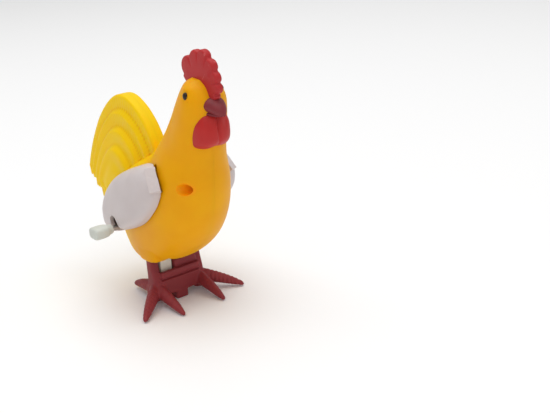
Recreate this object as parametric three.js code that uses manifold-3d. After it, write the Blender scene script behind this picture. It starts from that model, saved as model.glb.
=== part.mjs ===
// A wind-up hopping rooster: two moulded body shells round a spring motor, a comb, beak, wattle and eyes
// trapped between them, two wings that flap on their front edges, and one pair of feet that the motor rocks.
// Millimetres. +X is forward (the way the beak points), +Y is the bird's left, +Z is up.
// The origin is on the ground, under the middle of the tread plate between the feet.
import * as THREE from "three";
import { mergeVertices } from "three/addons/utils/BufferGeometryUtils.js";
import Module from "manifold-3d";

const wasm = await Module();
wasm.setup();

// ---- driving dimensions ----------------------------------------------------------------------------------
const WALL = 1.5; // body shell wall
const SEAM = 0.1; // half of the gap between the two body shells
const GAP = 0.3; // gap between parts that touch
const FAR = 120; // longer than the object, for cutters

const CASE = { right: -6.8, split: -2.2, left: 2.4, wall: 1 };
const SHAFT_R = 1; // winding shaft
const AXLE_R = 0.6; // second axle and crankshaft
const RUN = 0.25; // running clearance round a shaft

const MODULE = 0.5; // gear module: the pitch radius is MODULE * teeth / 2
const TEETH = { main: 30, second: 24, pinion: 10 };
const WIND = { x: -8.5, z: 30.3 }; // winding shaft
const CRANK = { x: -2.4, z: 20.8 }; // crankshaft
const CRANK_THROW = 0.8;

const PIVOT = { x: -3.3, z: 13.6, radius: 0.9 }; // the feet rock about this pin
const LEG = { inner: 7.2, outer: 10.7, rear: -5.2, front: 0, top: 19.2 };

function plastic(color, roughness) {
  return new THREE.MeshStandardMaterial({ color, roughness, metalness: 0 });
}

const yellow = plastic(0xe0a21a, 0.38);
const white = plastic(0xd9d3d2, 0.4);
const combRed = plastic(0x9c2f33, 0.42);
const wattleRed = plastic(0xb02c2c, 0.4);
const horn = plastic(0x6b3338, 0.45);
const black = plastic(0x15130f, 0.2);
const footRed = plastic(0x7d3036, 0.5);
const acetal = plastic(0xe6e2d6, 0.45);
const steel = new THREE.MeshStandardMaterial({ color: 0x9a9a98, roughness: 0.3, metalness: 1 });

// ---- solids and booleans ---------------------------------------------------------------------------------
function solid(geometry) {
  const bare = geometry.index ? geometry.toNonIndexed() : geometry.clone();
  for (const name of Object.keys(bare.attributes)) {
    if (name !== "position") bare.deleteAttribute(name);
  }
  const merged = mergeVertices(bare, 1e-4);
  const made = (flip) => {
    const triVerts = new Uint32Array(merged.index.array);
    if (flip) {
      for (let i = 0; i < triVerts.length; i += 3) {
        [triVerts[i + 1], triVerts[i + 2]] = [triVerts[i + 2], triVerts[i + 1]];
      }
    }
    const vertProperties = merged.attributes.position.array;
    return new wasm.Manifold(new wasm.Mesh({ numProp: 3, vertProperties, triVerts }));
  };
  const first = made(false);
  return first.volume() < 0 ? made(true) : first;
}

function geometryOf(made) {
  const mesh = made.getMesh();
  const points = new Float32Array(mesh.numVert * 3);
  for (let i = 0; i < mesh.numVert; i++) {
    points.set(mesh.vertProperties.subarray(i * mesh.numProp, i * mesh.numProp + 3), i * 3);
  }
  const geometry = new THREE.BufferGeometry();
  geometry.setAttribute("position", new THREE.BufferAttribute(points, 3));
  geometry.setIndex(new THREE.BufferAttribute(mesh.triVerts, 1));
  geometry.computeVertexNormals();
  return geometry;
}

const union = (...solids) => solids.reduce((a, b) => a.add(b));
const largest = (made) => made.decompose().sort((a, b) => b.volume() - a.volume())[0];

function box(low, high) {
  const size = high.map((v, i) => v - low[i]);
  const made = new THREE.BoxGeometry(...size);
  made.translate(...low.map((v, i) => v + size[i] / 2));
  return solid(made);
}

// A cylinder along Y from y0 to y1, with radius r0 at y0 and r1 at y1.
function rodY({ x, z }, r0, y0, y1, sides = 16, r1 = r0) {
  const made = new THREE.CylinderGeometry(r1, r0, y1 - y0, sides);
  made.translate(x, (y0 + y1) / 2, z);
  return solid(made);
}

// An outline of [x, z] points, extruded from y0 to y1, with a bevel at both faces.
function plateY(points, y0, y1, bevel = 0) {
  const shape = new THREE.Shape(points.map(([x, z]) => new THREE.Vector2(x, -z)));
  const made = new THREE.ExtrudeGeometry(shape, {
    depth: y1 - y0 - 2 * bevel,
    bevelEnabled: bevel > 0,
    bevelThickness: bevel,
    bevelSize: bevel,
    bevelOffset: -bevel,
    bevelSegments: 1,
  });
  made.rotateX(-Math.PI / 2); // (x, -z, depth) becomes (x, depth, z)
  made.translate(0, y0 + bevel, 0);
  return solid(made);
}

// A closed loft through rings of points, all with the same count, capped at both ends.
function loft(rings) {
  const count = rings[0].length;
  const faces = [];
  for (let i = 0; i < rings.length - 1; i++) {
    for (let j = 0; j < count; j++) {
      const a = i * count + j;
      const b = i * count + ((j + 1) % count);
      faces.push(a, b, b + count, a, b + count, a + count);
    }
  }
  const last = (rings.length - 1) * count;
  for (let j = 1; j < count - 1; j++) faces.push(0, j + 1, j, last, last + j, last + j + 1);
  const made = new THREE.BufferGeometry();
  const points = rings.flat().flatMap((p) => p.toArray());
  made.setAttribute("position", new THREE.Float32BufferAttribute(points, 3));
  made.setIndex(faces);
  return solid(made);
}

const power = (v, exponent) => Math.sign(v) * Math.abs(v) ** exponent;

const ellipseRing = (count, place) => Array.from({ length: count }, (_, j) => {
  const angle = (2 * Math.PI * j) / count;
  return new THREE.Vector3(...place(Math.cos(angle), Math.sin(angle)));
});

function smooth(points, count) {
  const curve = new THREE.SplineCurve(points.map(([x, z]) => new THREE.Vector2(x, z)));
  return curve.getPoints(count).map((p) => [p.x, p.y]);
}

function circle(x, z, radius, sides) {
  return Array.from({ length: sides }, (_, i) => {
    const angle = (2 * Math.PI * i) / sides;
    return [x + radius * Math.cos(angle), z + radius * Math.sin(angle)];
  });
}

// ---- body: chords from the back line to the breast line ---------------------------------------------------
// [back x, back z, breast x, breast z, half width, bulge, roundness]: a positive bulge is widest nearer the
// breast, and a roundness below 1 squares the section off.
const CHORDS = [
  [-22.6, 25.5, -20.6, 19.6, 3.4, 0, 0.8],
  [-25.2, 30.5, -18.6, 14.6, 6.8, 0, 0.7],
  [-26, 37, -14.6, 12.8, 9.2, 0, 0.62],
  [-22.4, 43.8, -8, 13, 11.4, 0.03, 0.62],
  [-15.5, 49, 0.5, 15.2, 13.3, 0.08, 0.72],
  [-9, 52.6, 10.5, 20.4, 14.1, 0.12, 0.86],
  [-4.4, 55, 18.6, 27.2, 14.3, 0.12, 0.95],
  [-0.6, 57.6, 24.2, 36.2, 13.6, 0.1, 1],
  [2.6, 61.2, 26.8, 46.6, 12.2, 0.1, 1],
  [5.8, 65.6, 27.4, 56, 10, 0.15, 1],
  [9.2, 70.8, 28.8, 64.6, 8.8, 0.22, 1],
  [12.2, 76, 30.4, 72, 8.1, 0.28, 1],
  [15.2, 80.4, 30.8, 78, 7.3, 0.3, 1],
  [18.4, 83.4, 29.2, 82.2, 5.8, 0.2, 1],
  [21.4, 84.9, 26.4, 84.5, 3, 0.1, 1],
];
const BODY_STEPS = 21;
const BODY_SIDES = 24;

function bodyRings(inset) {
  const track = (pick) => new THREE.CatmullRomCurve3(CHORDS.map((c) => new THREE.Vector3(...pick(c))));
  const back = track((c) => [c[0], 0, c[1]]);
  const breast = track((c) => [c[2], 0, c[3]]);
  const width = track((c) => [c[4], c[5], c[6]]);
  return Array.from({ length: BODY_STEPS + 1 }, (_, i) => {
    const [from, to, shape] = [back, breast, width].map((curve) => curve.getPoint(i / BODY_STEPS));
    const middle = from.clone().add(to).multiplyScalar(0.5);
    const along = to.clone().sub(from).multiplyScalar(0.5);
    along.setLength(Math.max(0.4, along.length() - inset));
    return Array.from({ length: BODY_SIDES }, (_, j) => {
      const angle = (2 * Math.PI * j) / BODY_SIDES;
      const u = power(Math.cos(angle), shape.z);
      const y = Math.max(0.4, shape.x - inset) * power(Math.sin(angle), shape.z) * (1 + shape.y * u);
      return middle.clone().addScaledVector(along, u).setY(y);
    });
  });
}

// A short thigh round the top of each leg.
const THIGH = { x: -2.9, y: 8.4 };

function thigh(side) {
  const sections = [ // z, half x, half y
    [16.8, 4.6, 2.9], [17.3, 5.2, 3.5], [19, 5.8, 3.9], [22.4, 7.2, 4.3], [26, 8, 4.2],
  ];
  return loft(sections.map(([z, halfX, halfY]) => ellipseRing(20, (c, s) =>
    [THIGH.x + halfX * power(c, 0.7), side * (THIGH.y + halfY * power(s, 0.7)), z])));
}

const bodyOutside = union(loft(bodyRings(0)), thigh(1), thigh(-1));
const bodyHollow = loft(bodyRings(WALL).slice(2, -1)); // it stops short of both ends, which keep a wall

// ---- tail: nested outlines of sickle feathers, each standing prouder than the one round it ----------------
const TAIL_ROOT = [-30, 36];
const TAIL_EDGE = smooth([
  [-2, 50], [-4, 56.4], [-7, 62], [-11, 66.6], [-16, 70.2], [-21.6, 72.3], [-27.5, 71.8], [-34, 68.2],
  [-41, 61.8], [-47, 53.8], [-51.4, 46.2], [-54.4, 40],
], 13);
const TAIL_TIPS = [[-53.4, 35.6], [-50.2, 38.4], [-50, 31.8], [-47, 34.6], [-45.8, 28.2], [-43, 31],
  [-41.2, 24.8], [-38.2, 27.8], [-35.6, 23.6], [-24, 27], [-14, 36]];
const TAIL = [...TAIL_EDGE, ...TAIL_TIPS];
const TAIL_LAYERS = [[1, 2.6], [0.86, 4], [0.68, 5.6], [0.48, 7]]; // share of the outline, half thickness
const TAIL_REACH = 34; // usual distance from the root to the edge

function tailSolid(inset) {
  return union(...TAIL_LAYERS.map(([share, half]) => {
    const size = share - inset / TAIL_REACH;
    const outline = TAIL.map(([x, z]) => [
      TAIL_ROOT[0] + (x - TAIL_ROOT[0]) * size,
      TAIL_ROOT[1] + (z - TAIL_ROOT[1]) * size,
    ]);
    return plateY(outline, inset - half, half - inset);
  }));
}

const keepOut = loft(bodyRings(-0.7)).add(tailSolid(-0.7)); // the wings stay outside this

// ---- screws, their bosses and the shell's openings --------------------------------------------------------
// Each screw goes in from the right, through a deep counterbore, into a post on the left.
const SCREWS = { screw_chest: { x: 23.2, z: 49 }, screw_rump: { x: -18.3, z: 19.6 } };
const SCREW = {
  seat: -2.6, headRadius: 1.5, headHeight: 1.5, radius: 0.8, length: 9, post: 2.9, recess: 1.9,
};

function screwPost(at) {
  return rodY(at, SCREW.post, -FAR, FAR).intersect(bodyOutside);
}

function screwHole(at) {
  const bore = rodY(at, SCREW.radius + GAP, SCREW.seat - 0.5, SCREW.seat + SCREW.length + 0.5, 12);
  return bore.add(rodY(at, SCREW.recess, -FAR, SCREW.seat));
}

function screw(at) {
  const under = SCREW.seat - GAP;
  const top = under - SCREW.headHeight;
  const head = rodY(at, SCREW.headRadius, top, under);
  const shank = rodY(at, SCREW.radius, under - 0.1, SCREW.seat + SCREW.length, 12);
  const [long, short, deep] = [SCREW.headRadius * 0.7, 0.3, top + 0.7];
  const crossRecess = union(
    box([at.x - long, top - 1, at.z - short], [at.x + long, deep, at.z + short]),
    box([at.x - short, top - 1, at.z - long], [at.x + short, deep, at.z + long]),
  );
  return head.add(shank).subtract(crossRecess);
}

// A wide way in for the motor, and a narrower one for each leg.
function bottomOpening() {
  const legs = [1, -1].map((side) => {
    const [a, b] = [side * (LEG.inner - 0.8), side * (LEG.outer + 0.35)];
    return box([LEG.rear - 1.2, Math.min(a, b), -1], [LEG.front + 1.2, Math.max(a, b), LEG.top + 1.4]);
  });
  return union(box([LEG.rear - 3, -LEG.inner, -1], [LEG.front + 4.4, LEG.inner, 20]), ...legs);
}

// ---- wings ------------------------------------------------------------------------------------------------
// Each wing hinges on a slot in its shell. "up" runs along the slot, "out" leaves the body,
// and "aft" points back.
const HINGE = { low: [14.6, 12.1, 47.2], high: [9.8, 10.4, 54.6] };
const SLOT_HALF = 1.1;

function hingeFrame(side) {
  const low = new THREE.Vector3(HINGE.low[0], side * HINGE.low[1], HINGE.low[2]);
  const high = new THREE.Vector3(HINGE.high[0], side * HINGE.high[1], HINGE.high[2]);
  const up = high.clone().sub(low);
  const reach = up.length() / 2;
  up.normalize();
  const out = new THREE.Vector3(0.35, side, 0.2);
  out.addScaledVector(up, -out.dot(up)).normalize();
  const aft = new THREE.Vector3().crossVectors(up, out);
  if (aft.x > 0) aft.negate();
  return { up, out, aft, reach, middle: low.add(high).multiplyScalar(0.5) };
}

// A box given by its ranges along aft, out and up, measured from the middle of the hinge.
function hingeBox(side, aftRange, outRange, upRange) {
  const { up, out, aft, middle } = hingeFrame(side);
  const ranges = [aftRange, outRange, upRange];
  const made = new THREE.BoxGeometry(...ranges.map(([a, b]) => b - a));
  made.translate(...ranges.map(([a, b]) => (a + b) / 2));
  made.applyMatrix4(new THREE.Matrix4().makeBasis(aft, out, up).setPosition(middle));
  return solid(made);
}

// The wing's rim seen from the side, from the top of the hinge backwards and round.
const WING_RIM = [
  [14.2, 53.6], [9.9, 55.4], [3.4, 54.2], [-1.8, 52.4], [-9, 49.6], [-16, 45.8], [-21.6, 40.6], [-24.6, 35.2],
  [-25, 31.2], [-22.4, 27], [-17, 25.6], [-10.5, 27.4], [-4.5, 29.6], [2, 32.4], [7.6, 35.5], [12.6, 39.8],
  [15.3, 43.6], [16.6, 48.8],
];
// The usual radius is "middle". The rim stands "rim" from the bird's middle plane, and further out by "ahead"
// forwards and by "lean" downwards.
const WING = { centre: [-5, 40.5], rim: 13.4, dome: 5.8, wall: 1.3, middle: 15, lean: 0.17, ahead: 0.13 };
const WING_OPEN = { 1: 8, "-1": 0 }; // degrees that each wing stands open, at rest
const WING_SWINGS = [9, 18]; // degrees of opening at which the wing is relieved round the body
const WING_NOTCH = { x: -8.5, z: 32.4, radius: 2.4 }; // the arch that the winding shaft passes through

// A dome on the wing's rim, which stands out from the body's side.
function wingDome(side, shrink) {
  const curve = new THREE.CatmullRomCurve3(WING_RIM.map(([x, z]) => new THREE.Vector3(x, 0, z)), true);
  const rim = curve.getPoints(24).slice(0, -1);
  const centre = new THREE.Vector3(WING.centre[0], 0, WING.centre[1]);
  const rings = [[1, -6], ...Array.from({ length: 6 }, (_, i) => {
    const angle = (Math.PI / 2) * (i / 5.6);
    return [Math.cos(angle) ** 0.6, (WING.dome - shrink) * Math.sin(angle)];
  })];
  return loft(rings.map(([share, out]) => rim.map((p) => {
    const size = share * (1 - shrink / WING.middle);
    const at = p.clone().sub(centre).multiplyScalar(size);
    return at.setY(side * (WING.rim + out - WING.lean * at.z + WING.ahead * at.x)).add(centre);
  })));
}

function wing(side) {
  const { reach } = hingeFrame(side);
  const pad = hingeBox(side, [-0.4, 5], [0.9, 2.8], [-reach, reach]);
  const tab = hingeBox(side, [-0.45, 0.45], [-2.6, 1.6], [0.4 - reach, reach - 0.4]);
  const bead = hingeBox(side, [-0.8, 0.8], [-3.6, -2.5], [0.4 - reach, reach - 0.4]);
  let made = wingDome(side, 0).subtract(wingDome(side, WING.wall)).add(pad).subtract(keepOut);
  if (side < 0) {
    const { x, z, radius } = WING_NOTCH;
    const arch = circle(x, z, radius, 16).slice(0, 9);
    const [near, far] = [x - radius, x + radius];
    made = made.subtract(plateY([...arch, [near, 15], [far, 15]], -FAR, -2));
  }
  for (const swing of WING_SWINGS) made = made.subtract(turned(keepOut, side, -swing));
  return turned(largest(union(made, tab, bead)), side, WING_OPEN[side]);
}

// Turns a solid outwards about a wing's hinge.
function turned(made, side, degrees) {
  const { up, middle } = hingeFrame(side);
  const turn = new THREE.Matrix4().makeRotationAxis(up, (-side * degrees * Math.PI) / 180);
  const about = new THREE.Matrix4().makeTranslation(middle).multiply(turn)
    .multiply(new THREE.Matrix4().makeTranslation(middle.clone().negate()));
  return made.transform(about.elements);
}

// ---- comb, beak, wattle and eyes --------------------------------------------------------------------------
// A copy that is larger by about the same amount all round, to cut a seat with.
function grown(made, by) {
  const { min, max } = made.boundingBox();
  const middle = min.map((v, i) => (v + max[i]) / 2);
  const factors = min.map((v, i) => 1 + (2 * by) / (max[i] - v));
  return made.translate(middle.map((v) => -v)).scale(factors).translate(middle);
}

const COMB_HALF = 1.6;
const COMB_BLADE = [[15.8, 84.6], [19, 89], [25.6, 90.6], [30, 87.8], [32.4, 83], [33.2, 79.6], [31.4, 77.8],
  [27, 79.6], [22, 81.4], [18, 82]];
const COMB_LOBES = [ // centre x, centre z and radius, from the back
  [18.7, 88, 3.4], [23.2, 90.8, 3], [27.2, 91.5, 2.8], [30.4, 89, 2.6], [32.2, 85.7, 2.2], [33, 82.6, 1.8],
];

function comb() {
  const blade = plateY(COMB_BLADE, -COMB_HALF, COMB_HALF);
  const lobes = COMB_LOBES.map(([x, z, r]) => plateY(circle(x, z, r, 12), -COMB_HALF, COMB_HALF));
  return union(blade, ...lobes).subtract(grown(beak(), GAP));
}

function beak() {
  const sections = [ // x, top z, bottom z, half width
    [27.6, 79.6, 73.4, 4], [30, 79.8, 73.4, 3.9], [32.6, 79, 73.4, 3], [34.8, 77.2, 73.2, 1.8],
    [36, 75, 73, 0.6],
  ];
  return loft(sections.map(([x, top, bottom, half]) =>
    ellipseRing(12, (c, s) => [x, half * c, (top + bottom) / 2 + ((top - bottom) / 2) * s])));
}

function wattle() {
  const sections = [ // z, front x, back x, outer y
    [74, 30.8, 26, 3.6], [71.8, 32.2, 22.6, 5.8], [68.4, 32.5, 19.8, 6.7], [65.4, 32.2, 18.8, 6.7],
    [63.6, 31, 19.4, 6.2], [62.4, 28.6, 21.6, 4.8],
  ];
  const lobe = (side) => loft(sections.map(([z, front, back, outer]) => ellipseRing(16, (c, s) => [
    (front + back) / 2 + ((front - back) / 2) * power(c, 0.8),
    side * (outer / 2 - 0.3) * (1 + 1.15 * power(s, 0.8)),
    z,
  ])));
  return lobe(1).add(lobe(-1)).subtract(grown(beak(), GAP));
}

const EYE = { x: 25.1, z: 80.1, radius: 1.25, deep: 2.2 };

// How far out the head's surface is, on the eye's axis.
function eyeSkin() {
  return rodY(EYE, 0.2, 0, FAR, 6).intersect(bodyOutside).boundingBox().max[1];
}

function eye(side) {
  const skin = eyeSkin();
  const plug = rodY(EYE, EYE.radius - 0.25, skin - EYE.deep, skin - 0.2, 16);
  const domed = new THREE.SphereGeometry(EYE.radius, 16, 10);
  domed.scale(1, 0.55, 1);
  domed.translate(EYE.x, skin - 0.1, EYE.z);
  const made = plug.add(solid(domed));
  return side > 0 ? made : made.mirror([0, 1, 0]);
}

function eyeSocket(side) {
  const made = rodY(EYE, EYE.radius + GAP * 0.5, eyeSkin() - 1.1, FAR, 16)
    .add(rodY(EYE, EYE.radius - 0.05, 0, FAR, 16));
  return side > 0 ? made : made.mirror([0, 1, 0]);
}

// ---- body shells ------------------------------------------------------------------------------------------

function bodyShell(side) {
  const half = box([-FAR, side > 0 ? SEAM : -FAR, -FAR], [FAR, side > 0 ? FAR : -SEAM, FAR]);
  let shell = bodyOutside.add(tailSolid(0)).subtract(bodyHollow)
    .subtract(tailSolid(WALL).subtract(bodyOutside));
  for (const at of Object.values(SCREWS)) shell = shell.add(screwPost(at)).subtract(screwHole(at));
  const slot = hingeFrame(side).reach + 0.6;
  shell = shell.subtract(bottomOpening());
  shell = shell.subtract(hingeBox(side, [-SLOT_HALF, SLOT_HALF], [-5, 5], [-slot, slot]));
  shell = shell.subtract(eyeSocket(side)).subtract(inserts);
  if (side < 0) shell = shell.subtract(rodY(WIND, SHAFT_R + 0.9, -FAR, 0));
  return largest(shell.intersect(half));
}

const inserts = grown(comb(), GAP).add(grown(beak(), GAP)).add(grown(wattle(), GAP));

// ---- spring motor -----------------------------------------------------------------------------------------
const pitch = (teeth) => (MODULE * teeth) / 2;

// The second axle stands in front of the line from the winding shaft to the crankshaft, in mesh with both.
function secondAxle() {
  const toWind = pitch(TEETH.main) + pitch(TEETH.pinion);
  const toCrank = pitch(TEETH.second) + pitch(TEETH.pinion);
  const [dx, dz] = [CRANK.x - WIND.x, CRANK.z - WIND.z];
  const apart = Math.hypot(dx, dz);
  const along = (toWind ** 2 - toCrank ** 2 + apart ** 2) / (2 * apart);
  const across = Math.sqrt(toWind ** 2 - along ** 2);
  const [ux, uz] = [dx / apart, dz / apart];
  return { x: WIND.x + ux * along - uz * across, z: WIND.z + uz * along + ux * across };
}
const SECOND = secondAxle();

// A spur gear's outline: straight-flanked teeth, with the first tooth's middle at angle "turn".
function gearOutline({ x, z }, teeth, turn) {
  const [root, tip] = [pitch(teeth) - 1.13 * MODULE, pitch(teeth) + 0.84 * MODULE];
  const points = [];
  for (let i = 0; i < teeth; i++) {
    const tooth = turn + (2 * Math.PI * i) / teeth;
    const step = Math.PI / teeth;
    for (const [radius, share] of [[root, -0.78], [tip, -0.2], [tip, 0.2], [root, 0.78]]) {
      const angle = tooth + share * step;
      points.push([x + radius * Math.cos(angle), z + radius * Math.sin(angle)]);
    }
  }
  return points;
}

// Where a gear's tooth must point so that it meets a gap of the gear that drives it.
function meshTurn(from, fromTeeth, fromTurn, to, teeth) {
  const line = Math.atan2(to.z - from.z, to.x - from.x);
  const phase = ((line - fromTurn) * fromTeeth) / (2 * Math.PI);
  return line + Math.PI + ((phase + 0.5) * 2 * Math.PI) / teeth;
}

const TURN = { main: 0 };
TURN.secondPinion = meshTurn(WIND, TEETH.main, TURN.main, SECOND, TEETH.pinion);
TURN.second = TURN.secondPinion;
TURN.crank = meshTurn(SECOND, TEETH.second, TURN.second, CRANK, TEETH.pinion);

const LAYER = { main: [-5.2, -4.1], second: [-3.6, -2.6], spring: [-2, 1.1] }; // where along Y each part runs

function gear(at, teeth, turn, [y0, y1], bore) {
  return plateY(gearOutline(at, teeth, turn), y0, y1).subtract(rodY(at, bore, -FAR, FAR));
}

function mainGear() {
  const hub = rodY(WIND, 2.2, LAYER.main[0] - 0.3, LAYER.main[1] + 1.6)
    .subtract(rodY(WIND, SHAFT_R + 0.05, -FAR, FAR));
  return gear(WIND, TEETH.main, TURN.main, LAYER.main, SHAFT_R + 0.05).add(hub);
}

function secondGear() {
  const pinionLayer = [LAYER.main[0], LAYER.second[0] + 0.1];
  return gear(SECOND, TEETH.pinion, TURN.secondPinion, pinionLayer, AXLE_R + 0.05)
    .add(gear(SECOND, TEETH.second, TURN.second, LAYER.second, AXLE_R + 0.05));
}

function crankPinion() {
  const layer = [LAYER.second[0] - 0.2, LAYER.second[1] + 0.2];
  return gear(CRANK, TEETH.pinion, TURN.crank, layer, AXLE_R + 0.05);
}

const DISC = { y0: 3, y1: 4.1, radius: 2.2, pinRadius: 0.7, pinEnd: 6.6 };

function crankDisc() {
  const pinAt = { x: CRANK.x, z: CRANK.z + CRANK_THROW };
  return rodY(CRANK, DISC.radius, DISC.y0, DISC.y1, 20)
    .subtract(rodY(CRANK, AXLE_R + 0.05, -FAR, DISC.y1 - 0.4))
    .add(rodY(pinAt, DISC.pinRadius, DISC.y1 - 0.1, DISC.pinEnd, 12));
}

// A wound strip of spring steel, from the arbor out to the hook on the case.
function mainspring() {
  const [inner, outer, thick, coils, perCoil] = [1.7, 7.4, 0.3, 3, 18];
  const steps = coils * perCoil;
  const side = (offset) => Array.from({ length: steps + 1 }, (_, i) => {
    const angle = (2 * Math.PI * i) / perCoil;
    const radius = inner + ((outer - inner) * i) / steps + offset;
    return [WIND.x + radius * Math.cos(angle), WIND.z + radius * Math.sin(angle)];
  });
  return plateY([...side(thick / 2), ...side(-thick / 2).reverse()], ...LAYER.spring);
}

// The case round the gears. Only the right half has the lug, which reaches down between the
// legs to the pivot pin.
const CASE_TOP = [
  [5, 21.6], [9, 25], [9.6, 30], [7, 34.8], [0, 38.8], [-4, 40], [-13, 40], [-18.2, 34.8], [-18.2, 25.8],
  [-12.6, 20.4],
];
const CASE_LUG = [[-7.6, 16.8], [-5.6, 15.6], [-5.4, 9.8], [-1.2, 9.8], [-1, 15.6], [2, 17.4]];
const CASE_FLOOR = [[-8, 17.6], [2, 17.6]];

// A polygon moved inwards by "by" along every edge.
function inset(points, by) {
  const normal = ([ax, az], [bx, bz]) => new THREE.Vector2(az - bz, bx - ax).normalize();
  return points.map((point, i) => {
    const before = normal(points.at(i - 1), point);
    const after = normal(point, points[(i + 1) % points.length]);
    const move = before.add(after).multiplyScalar(by / (1 + before.dot(after) - after.lengthSq()));
    return [point[0] + move.x, point[1] + move.y];
  });
}

// Each case half is a tray, open towards the other, with bearing holes. The second axle's holes are slots,
// which let its pinion ride out of mesh while the spring is wound.
function caseHalf(outline, y0, y1, open0, open1) {
  const slotEnd = { x: SECOND.x + 0.5, z: SECOND.z };
  const bearings = [[WIND, SHAFT_R], [SECOND, AXLE_R], [slotEnd, AXLE_R], [CRANK, AXLE_R]];
  const holes = bearings.map(([at, radius]) => rodY(at, radius + RUN, -FAR, FAR));
  return plateY(outline, y0, y1).subtract(plateY(inset(outline, CASE.wall), open0, open1))
    .subtract(union(...holes, rodY(PIVOT, PIVOT.radius + 0.06, -FAR, FAR)));
}

// ---- winding key ------------------------------------------------------------------------------------------
const KEY = {
  inner: -20.4, waist: -22.2, outer: -28.2, shaftEnd: -23.4, halfWide: 2.9, halfThick: 2.1, neck: 1.6,
};

function windingKey() {
  const sections = [ // y, half width, half thickness
    [KEY.inner, KEY.neck, KEY.neck], [KEY.inner - 1.2, KEY.neck + 0.2, KEY.neck + 0.2],
    [KEY.waist - 0.8, KEY.halfWide * 0.85, KEY.halfThick * 0.9], [KEY.outer + 3, KEY.halfWide, KEY.halfThick],
    [KEY.outer + 0.8, KEY.halfWide, KEY.halfThick], [KEY.outer, KEY.halfWide - 0.6, KEY.halfThick - 0.6],
  ];
  return loft(sections.map(([y, wide, thick]) => ellipseRing(20, (c, s) => [
    WIND.x + wide * power(c, 0.7),
    y,
    WIND.z + thick * power(s, 0.7),
  ]))).subtract(rodY(WIND, SHAFT_R + 0.05, KEY.shaftEnd - 0.3, 0));
}

// ---- feet: one moulding of two legs, their toes, the bridge between them and the rocker -----------------
const ANKLE = { x: -2.4, y: 8.7, z: 5.2 };
const TOES = { inner: [14.9, 8.7, 0.8], outer: [9.5, 21.7, 0.8], back: [-19, 7.8, 2] };

function toe(side, [x, y, z]) {
  const from = new THREE.Vector3(ANKLE.x, side * ANKLE.y, ANKLE.z);
  const to = new THREE.Vector3(x, side * y, z);
  const across = to.clone().sub(from).cross(new THREE.Vector3(0, 0, 1)).normalize();
  const sections = [[0, 2.4, 2.6], [0.35, 2.3, 2.1], [0.8, 1.4, 1.3], [0.97, 0.9, 0.8], [1, 0.5, 0.45]];
  return loft(sections.map(([share, wide, tall]) => {
    const middle = from.clone().lerp(to, share);
    const corners = [[0, 1], [0.6, 0.5], [1, -0.3], [0.6, -1], [-0.6, -1], [-1, -0.3], [-0.6, 0.5]];
    return corners.map(([a, b]) => {
      const point = middle.clone().addScaledVector(across, a * wide);
      return point.setZ(point.z + b * tall);
    });
  }));
}

function leg(side) {
  // Height, growth in half of x and of y, and shift in x: the upper leg's front slopes back.
  const sections = [[1.2, 0.9, 0.6, 0], [5, 0.5, 0.4, 0], [9, 0.1, 0, 0.1], [14, -0.5, 0, -0.5],
    [LEG.top, -0.9, -0.1, -0.9]];
  const middle = { x: (LEG.rear + LEG.front) / 2, y: (LEG.inner + LEG.outer) / 2 };
  const half = { x: (LEG.front - LEG.rear) / 2, y: (LEG.outer - LEG.inner) / 2 };
  const corners = [[1, 0.5], [0.6, 1], [-0.6, 1], [-1, 0.5], [-1, -0.5], [-0.6, -1], [0.6, -1], [1, -0.5]];
  return loft(sections.map(([z, dx, dy, shift]) => corners.map(([a, b]) =>
    new THREE.Vector3(middle.x + shift + a * (half.x + dx), side * (middle.y + b * (half.y + dy)), z))));
}

// The rocker is a block on the left leg, with an arm up into the body. The arm ends in a ring round the
// crank's pin: the ring is as wide as the pin's circle and the arm's swing need.
const BLOCK = { rear: -4.6, front: -0.2, inner: -1.6, bottom: 10.2, top: 15 };
const RING = { y0: 4.8, y1: 6.6, inner: 2.7, outer: 4.1 };

function rocker() {
  const block = box([BLOCK.rear, BLOCK.inner, BLOCK.bottom], [BLOCK.front, LEG.inner + 0.5, BLOCK.top]);
  const arm = box([-3.9, RING.y0, BLOCK.top - 1], [-0.9, RING.y1, CRANK.z - RING.inner - 0.3]);
  const ring = rodY(CRANK, RING.outer, RING.y0, RING.y1, 20);
  return union(block, arm, ring).subtract(rodY(CRANK, RING.inner, RING.y0 - 1, RING.y1 + 1, 20));
}

function feet() {
  const parts = [1, -1].flatMap((side) => [leg(side), ...Object.values(TOES).map((tip) => toe(side, tip))]);
  const reach = LEG.inner + 1;
  const bars = [
    box([-0.2, -reach, 9.6], [1.4, reach, 12]), // upper bar
    box([-0.6, -reach, 3], [1.4, reach, 8.8]), // front wall
    box([-0.4, -reach, 8.6], [0.4, reach, 9.8]), // web between them
    box([-5.4, -reach, 3], [1.4, reach, 4.8]), // floor
    box([-3.4, -2.4, 0], [1.2, 2.4, 3.4]), // tread
  ];
  const pinHole = rodY(PIVOT, PIVOT.radius + RUN, 0.4 - LEG.outer, LEG.outer - 0.4);
  const ground = box([-FAR, -FAR, -FAR], [FAR, FAR, 0]);
  return largest(union(...parts, ...bars, rocker()).subtract(pinHole).subtract(ground));
}

// ---- assembly ---------------------------------------------------------------------------------------------
const rooster = new THREE.Group();

function add(name, made, material) {
  const mesh = new THREE.Mesh(geometryOf(made), material);
  mesh.name = name;
  rooster.add(mesh);
}

add("body_shell_left", bodyShell(1), yellow);
add("body_shell_right", bodyShell(-1), yellow);
add("comb", comb(), combRed);
add("beak", beak(), horn);
add("wattle", wattle(), wattleRed);
add("eye_left", eye(1), black);
add("eye_right", eye(-1), black);
for (const [name, at] of Object.entries(SCREWS)) add(name, screw(at), steel);
add("wing_left", wing(1), white);
add("wing_right", wing(-1), white);

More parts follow.
